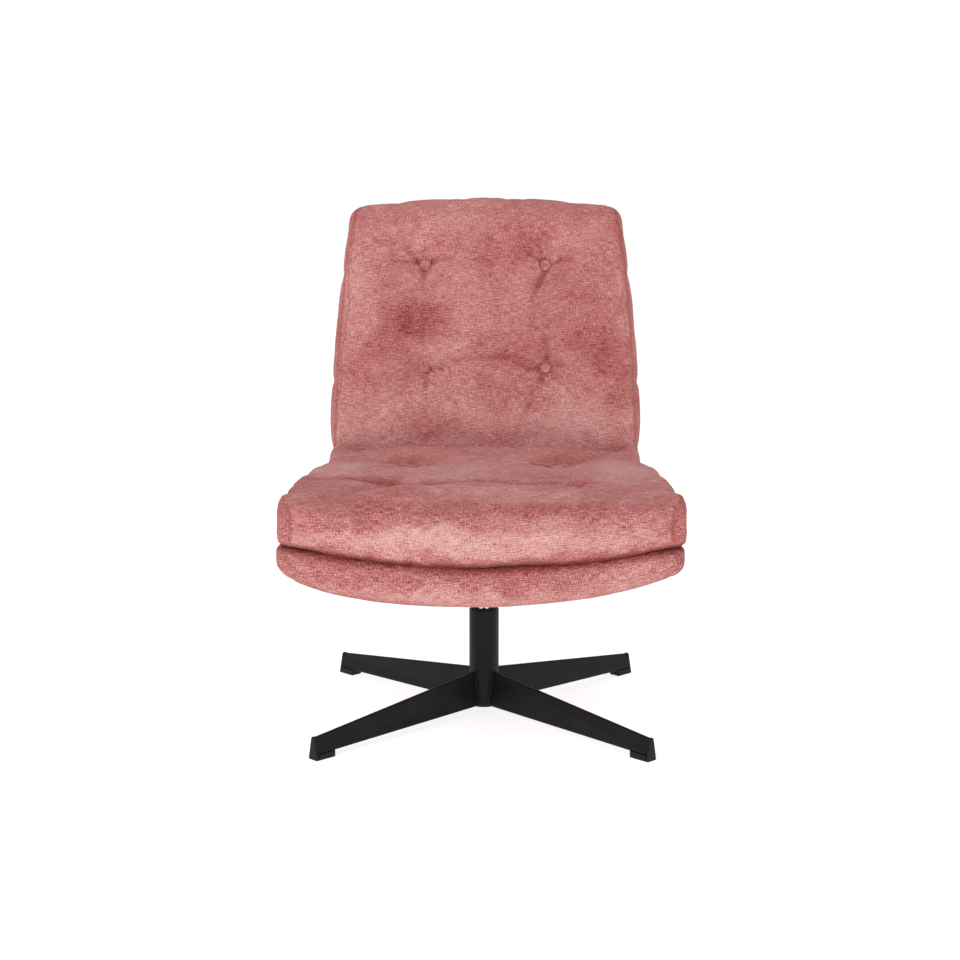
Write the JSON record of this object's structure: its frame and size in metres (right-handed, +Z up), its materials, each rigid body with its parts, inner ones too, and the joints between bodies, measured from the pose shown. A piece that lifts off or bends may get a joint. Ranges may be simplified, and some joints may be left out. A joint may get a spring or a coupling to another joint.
{
  "type": "swivel lounge chair",
  "caption": "Low armless swivel chair: tufted, buttoned seat and back cushions on a curved upholstered shell, turning on a short column over a cross-shaped steel pedestal base.",
  "frame": {"origin": "on the floor, on the swivel axis, which is also the middle of the bounding box", "axes": "+Z up along the swivel axis; the sitter faces -Y; +X is to the right of somebody looking at the chair from the front"},
  "size_m": [0.601, 0.7701, 0.868],
  "materials": {
    "black_powder_coat": "matt black powder coat on steel",
    "plain_steel": "turned steel",
    "bearing_steel": "polished bearing steel",
    "zinc_steel": "bright zinc plated",
    "nylon": "natural nylon",
    "black_plastic": "moulded black plastic",
    "plywood": "raw moulded beech plywood",
    "foam": "cut polyurethane foam",
    "pink_chenille": "dusty pink chenille velvet",
    "cord": "twisted polyester cord"
  },
  "bodies": {
    "base": {"hub_tube": "black_powder_coat", "core_tube": "plain_steel", "column_sleeve": "black_powder_coat", "support_disc": "plain_steel", "bearing_lower_race": "bearing_steel", "lower_bush": "nylon", "upper_bush": "black_plastic", "hub_cap": "black_plastic", "leg_front_left": "black_powder_coat", "leg_front_right": "black_powder_coat", "leg_rear_left": "black_powder_coat", "leg_rear_right": "black_powder_coat", "foot_front_left": "black_plastic", "foot_front_right": "black_plastic", "foot_rear_left": "black_plastic", "foot_rear_right": "black_plastic", "leg_welds": "black_powder_coat"},
    "ball_cage": {"bearing_cage": "nylon", "bearing_balls": "bearing_steel"},
    "seat": {"bearing_upper_race": "bearing_steel", "spindle": "plain_steel", "retaining_washer": "plain_steel", "retaining_circlip": "plain_steel", "spindle_socket": "black_powder_coat", "socket_screws": "zinc_steel", "seat_plate": "black_powder_coat", "plate_bolts": "zinc_steel", "plate_washers": "zinc_steel", "tee_nuts": "zinc_steel", "plywood_shell": "plywood", "shell_foam": "foam", "shell_cover": "pink_chenille", "seat_cushion_core": "foam", "seat_cushion_cover": "pink_chenille", "back_cushion_core": "foam", "back_cushion_cover": "pink_chenille", "seat_buttons": "pink_chenille", "back_buttons": "pink_chenille", "button_ties": "cord", "button_anchors": "black_plastic"}
  },
  "joints": [
    {"name": "seat_swivel", "type": "hinge", "parent": "base", "child": "seat", "pos_m": [0, 0, 0.1], "axis": [0, 0, 1], "continuous": true},
    {"name": "bearing_cage_spin", "type": "hinge", "parent": "base", "child": "ball_cage", "pos_m": [0, 0, 0.0445], "axis": [0, 0, 1], "continuous": true}
  ],
  "couplings": [
    {"joint": "bearing_cage_spin", "follows": "seat_swivel", "ratio": 0.5}
  ]
}
